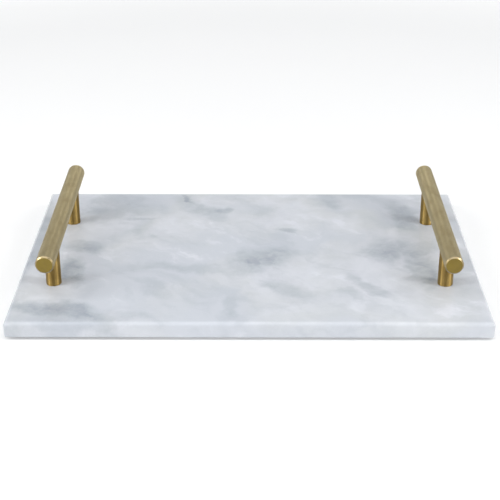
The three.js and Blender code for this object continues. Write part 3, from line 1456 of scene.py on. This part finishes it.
@dataclass
class Studio:
    """A white floor, soft lamps, a pale surround and the camera."""

    lens: float = 87.5
    eye: Point = (2.7 * MM, -757 * MM, 381.5 * MM)
    tilt: float = math.radians(25.93)
    turn: float = math.radians(0.19)
    floor_half: float = 6.0
    horizon: Colour = (1.0, 1.0, 1.0, 1.0)
    overhead: Colour = (0.32, 0.33, 0.34, 1.0)

    def build(self) -> None:
        """Build the studio round the tray."""
        self._camera()
        self._floor()
        self._sky()
        for box in (
            Softbox("top_box", (0.0, -0.7, 1.4), 1.5, 0.5, 7.5),
            Softbox("left_box", (-0.95, -0.35, 0.7), 0.24, 0.9, 7.5),
            Softbox("right_box", (0.95, -0.35, 0.7), 0.24, 0.9, 7.5),
            Softbox("front_left_box", (-0.95, -1.4, 0.5), 0.8, 1.0, 3.0),
            Softbox("front_right_box", (0.95, -1.4, 0.5), 0.8, 1.0, 3.0),
            Softbox("back_wash", (0.0, 1.0, 1.1), 1.4, 0.5, 4.0, (0.0, 0.6, 0.0)),
        ):
            box.light()
        view = bpy.context.scene.view_settings
        view.view_transform = "Standard"
        view.look = "None"

    def _camera(self) -> None:
        """Set the camera in front of the tray, looking down at it."""
        data = bpy.data.cameras.new("camera")
        data.lens = self.lens
        data.sensor_width = 36
        data.clip_start, data.clip_end = 0.01, 50
        camera = bpy.data.objects.new("camera", data)
        camera.location = self.eye
        camera.rotation_euler = (math.pi / 2 - self.tilt, 0, self.turn)
        bpy.context.scene.collection.objects.link(camera)
        bpy.context.scene.camera = camera

    def _floor(self) -> None:
        """Lay a wide floor at the height of the feet."""
        shape = bmesh.new()
        bmesh.ops.create_grid(shape, x_segments=1, y_segments=1, size=self.floor_half)
        floor = solid("studio_floor", shape)
        paint(floor, FloorPaint().material())

    def _sky(self) -> None:
        """Surround the tray with soft light, white round the horizon and dimmer overhead."""
        world = bpy.data.worlds.new("surround")
        world.use_nodes = True
        tree = Tree(world.node_tree)
        _, _, rise = tree.parts(tree.node("ShaderNodeTexCoord").outputs["Generated"])
        shade = world.node_tree.nodes["Background"]
        tree.feed(shade, "Color", tree.blend(rise.ramp(0.1, 0.4), self.horizon, self.overhead))
        bpy.context.scene.world = world


# The stone's grey patches: centre x and y, reach, width, turn and strength. Most are cloud patches in the
# marble; the marked ones are painted shadows beside the handle posts.
CLOUDS_AND_POST_SHADOWS = (
    GreyPatch(10 * MM, -11 * MM, 22 * MM, 18 * MM, 0.1, 0.52),
    GreyPatch(104 * MM, 5 * MM, 24 * MM, 17 * MM, 0.3, 0.42),
    GreyPatch(113 * MM, 56 * MM, 27 * MM, 10 * MM, 1.7, 0.5),
    # Painted shadow beside the right front post.
    GreyPatch(121 * MM, -42 * MM, 12 * MM, 6 * MM, 1.4, 0.45),
    # Painted shadow beside the left front post.
    GreyPatch(-119 * MM, -28 * MM, 18 * MM, 7 * MM, 1.6, 0.55),
    GreyPatch(-113 * MM, 6 * MM, 13 * MM, 9 * MM, -0.7, 0.5),
    GreyPatch(-100 * MM, 74 * MM, 34 * MM, 22 * MM, -0.1, 0.3),
    # Dark spot by the left rear post, partly a painted shadow.
    GreyPatch(-115 * MM, 67 * MM, 8 * MM, 9 * MM, 0.0, 0.14),
    GreyPatch(-78 * MM, 53 * MM, 10 * MM, 2.5 * MM, 0.0, 0.3),
    GreyPatch(-38 * MM, 75 * MM, 25 * MM, 10 * MM, -0.85, 0.34),
    GreyPatch(-44 * MM, 88 * MM, 8 * MM, 3 * MM, -0.8, 0.4),
    GreyPatch(-18 * MM, 70 * MM, 6 * MM, 5 * MM, 0.0, 0.4),
    GreyPatch(29 * MM, 33 * MM, 7 * MM, 4 * MM, -0.6, 0.42),
    GreyPatch(61 * MM, 90 * MM, 13 * MM, 10 * MM, 1.2, 0.36),
    GreyPatch(-45 * MM, -25 * MM, 38 * MM, 7 * MM, -0.1, 0.3),
    GreyPatch(-63 * MM, -58 * MM, 16 * MM, 6 * MM, -0.75, 0.3),
    GreyPatch(-125 * MM, -82 * MM, 34 * MM, 9 * MM, -0.15, 0.66),
    GreyPatch(-149 * MM, 15 * MM, 55 * MM, 8 * MM, 1.57, 0.45),
    # Painted shadow beside the right front post.
    GreyPatch(116 * MM, -24 * MM, 20 * MM, 8 * MM, 1.4, 0.4),
    GreyPatch(80 * MM, -52 * MM, 22 * MM, 6 * MM, -0.9, 0.36),
    GreyPatch(26 * MM, -54 * MM, 17 * MM, 8 * MM, -0.3, 0.22),
    GreyPatch(-14 * MM, -84 * MM, 15 * MM, 6 * MM, 1.5, 0.24),
    GreyPatch(-110 * MM, -96 * MM, 46 * MM, 8 * MM, 0.0, 0.32),
)


def main() -> None:
    """Build the studio and every piece of the tray, in order."""
    logging.basicConfig(level=logging.INFO, format="%(name)s: %(message)s")
    Studio().build()
    copies = CornerCopies()
    slab, stone = Slab(), Marble(patches_and_shadows=CLOUDS_AND_POST_SHADOWS).material()
    slab.dress(slab.build(copies, stone), stone)
    finishes = HandleFinishes.make()
    bars = knurled_bar_tree()
    for side in SIDES:
        handle = Handle(side)
        handle.dress(handle.build(bars, finishes), finishes)
    fasteners, feet = Fasteners(), Feet()
    fasteners.dress(fasteners.build(copies, ZincPlate().material()))
    feet.dress(feet.build(copies, SoftRubber().material()))


if __name__ == "__main__":
    main()
